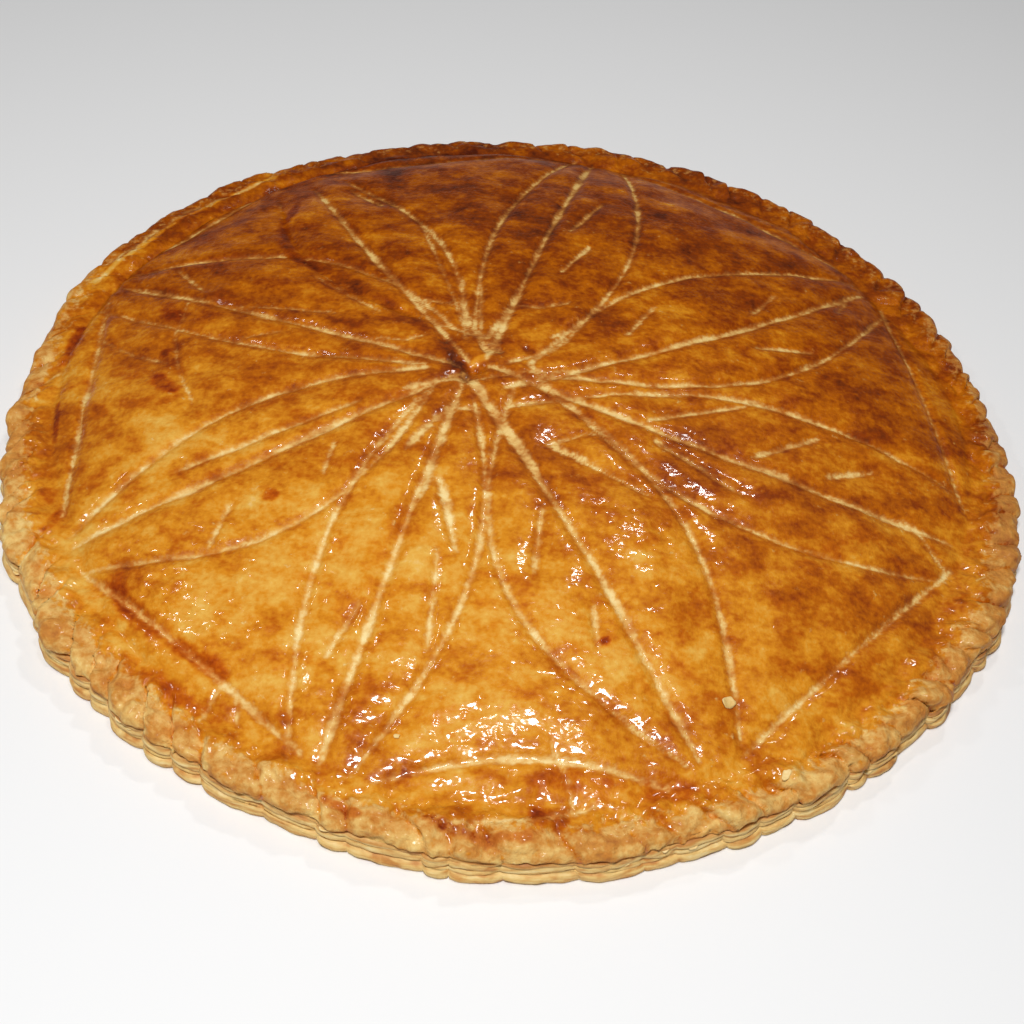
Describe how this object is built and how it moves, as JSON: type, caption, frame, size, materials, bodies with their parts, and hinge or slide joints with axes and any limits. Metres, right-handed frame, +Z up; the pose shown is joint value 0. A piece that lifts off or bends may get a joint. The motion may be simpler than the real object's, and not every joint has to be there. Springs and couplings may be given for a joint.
{
  "type": "king cake",
  "caption": "Round domed puff pastry cake scored with a leaf rosette, glazed golden brown, with a notched and sealed flaky rim.",
  "frame": {"origin": "middle of the cake's footprint, on the surface that it rests on", "axes": "+Z up through the dome; -Y is the side nearest to the viewer of the picture, +X is to that viewer's right"},
  "size_m": [0.3169, 0.3194, 0.0367],
  "materials": {
    "baked_pastry": "baked puff pastry with a glossy egg-wash glaze: golden orange, red-brown in patches, pale tan in the scored lines and at the flaky rim"
  },
  "bodies": {
    "root": {"king_cake": "baked_pastry"}
  },
  "joints": []
}
